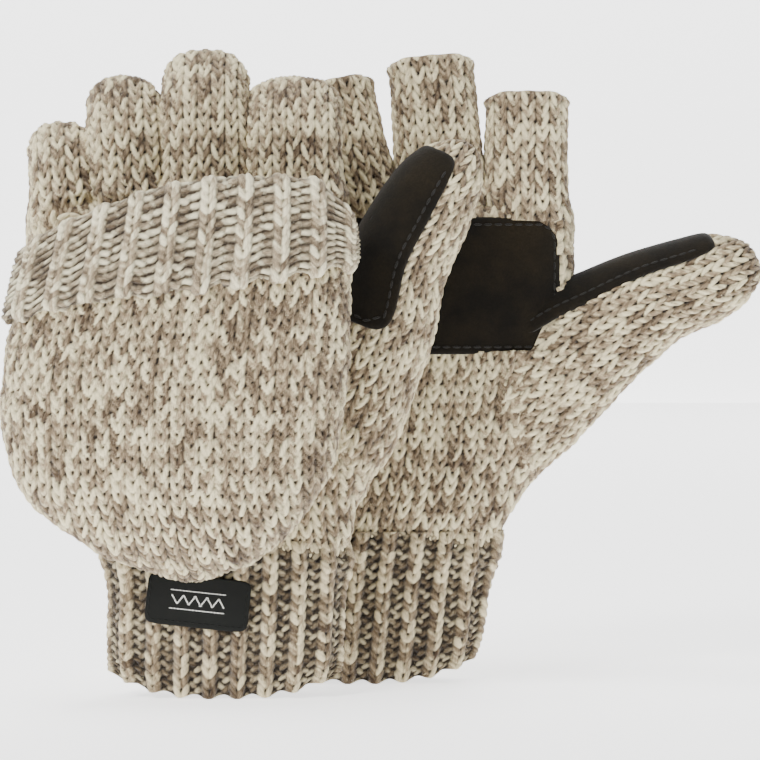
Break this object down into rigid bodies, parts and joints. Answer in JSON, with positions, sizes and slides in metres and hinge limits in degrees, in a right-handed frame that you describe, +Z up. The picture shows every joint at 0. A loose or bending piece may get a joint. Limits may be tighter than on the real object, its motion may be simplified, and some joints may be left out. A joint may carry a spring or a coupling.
{
  "type": "convertible flip-top mittens",
  "caption": "Pair of marled wool knit half-finger gloves with insulated flip-over mitten hoods, ribbed cuffs and suede palm and thumb patches, standing on their cuffs.",
  "frame": {"origin": "on the surface the gloves stand on, at the middle of the pair", "axes": "+Z up from the cuffs' hems to the fingers, +X to the side the thumbs point to, +Y from the left glove to the right glove"},
  "size_m": [0.2609, 0.1402, 0.2201],
  "materials": {
    "marled_knit": "fuzzy marled wool stockinette",
    "ribbed_knit": "fuzzy marled wool rib",
    "yarn": "plied wool yarn",
    "insulation": "matt fibre batting",
    "fleece_lining": "brushed fleece",
    "suede": "napped suede",
    "dark_thread": "sewing thread",
    "woven_label": "black woven satin"
  },
  "bodies": {
    "right_glove": {"right_cuff": "ribbed_knit", "right_hand_shell": "marled_knit", "right_hand_insulation": "insulation", "right_hand_lining": "fleece_lining", "right_thumb_shell": "marled_knit", "right_thumb_lining": "fleece_lining", "right_little_finger": "marled_knit", "right_ring_finger": "marled_knit", "right_middle_finger": "marled_knit", "right_index_finger": "marled_knit", "right_hood_seam": "yarn", "right_palm_patch": "suede", "right_thumb_patch": "suede", "right_palm_patch_stitching": "dark_thread", "right_thumb_patch_stitching": "dark_thread", "right_label": "woven_label", "right_label_stitching": "dark_thread"},
    "right_hood": {"right_hood_shell": "marled_knit", "right_hood_insulation": "insulation", "right_hood_lining": "fleece_lining", "right_hood_band": "ribbed_knit"},
    "left_glove": {"left_cuff": "ribbed_knit", "left_hand_shell": "marled_knit", "left_hand_insulation": "insulation", "left_hand_lining": "fleece_lining", "left_thumb_shell": "marled_knit", "left_thumb_lining": "fleece_lining", "left_little_finger": "marled_knit", "left_ring_finger": "marled_knit", "left_middle_finger": "marled_knit", "left_index_finger": "marled_knit", "left_hood_seam": "yarn", "left_palm_patch": "suede", "left_thumb_patch": "suede", "left_palm_patch_stitching": "dark_thread", "left_thumb_patch_stitching": "dark_thread", "left_label": "woven_label", "left_label_stitching": "dark_thread"},
    "left_hood": {"left_hood_shell": "marled_knit", "left_hood_insulation": "insulation", "left_hood_lining": "fleece_lining", "left_hood_band": "ribbed_knit"}
  },
  "joints": [
    {"name": "left_glove_lift", "type": "slide", "parent": "right_glove", "child": "left_glove", "axis": [0, 0, 1], "range_m": [0, 0.15]},
    {"name": "left_hood_flip", "type": "hinge", "parent": "left_glove", "child": "left_hood", "pos_m": [-0.0678, -0.0351, 0.163], "axis": [-1, 0, 0], "range_deg": [0, 180], "deforming": ["left_hood_shell", "left_hood_insulation", "left_hood_lining", "left_hood_band"]},
    {"name": "right_hood_flip", "type": "hinge", "parent": "right_glove", "child": "right_hood", "pos_m": [0.0069, 0.0351, 0.163], "axis": [1, 0, 0], "range_deg": [0, 180], "deforming": ["right_hood_shell", "right_hood_insulation", "right_hood_lining", "right_hood_band"]}
  ]
}
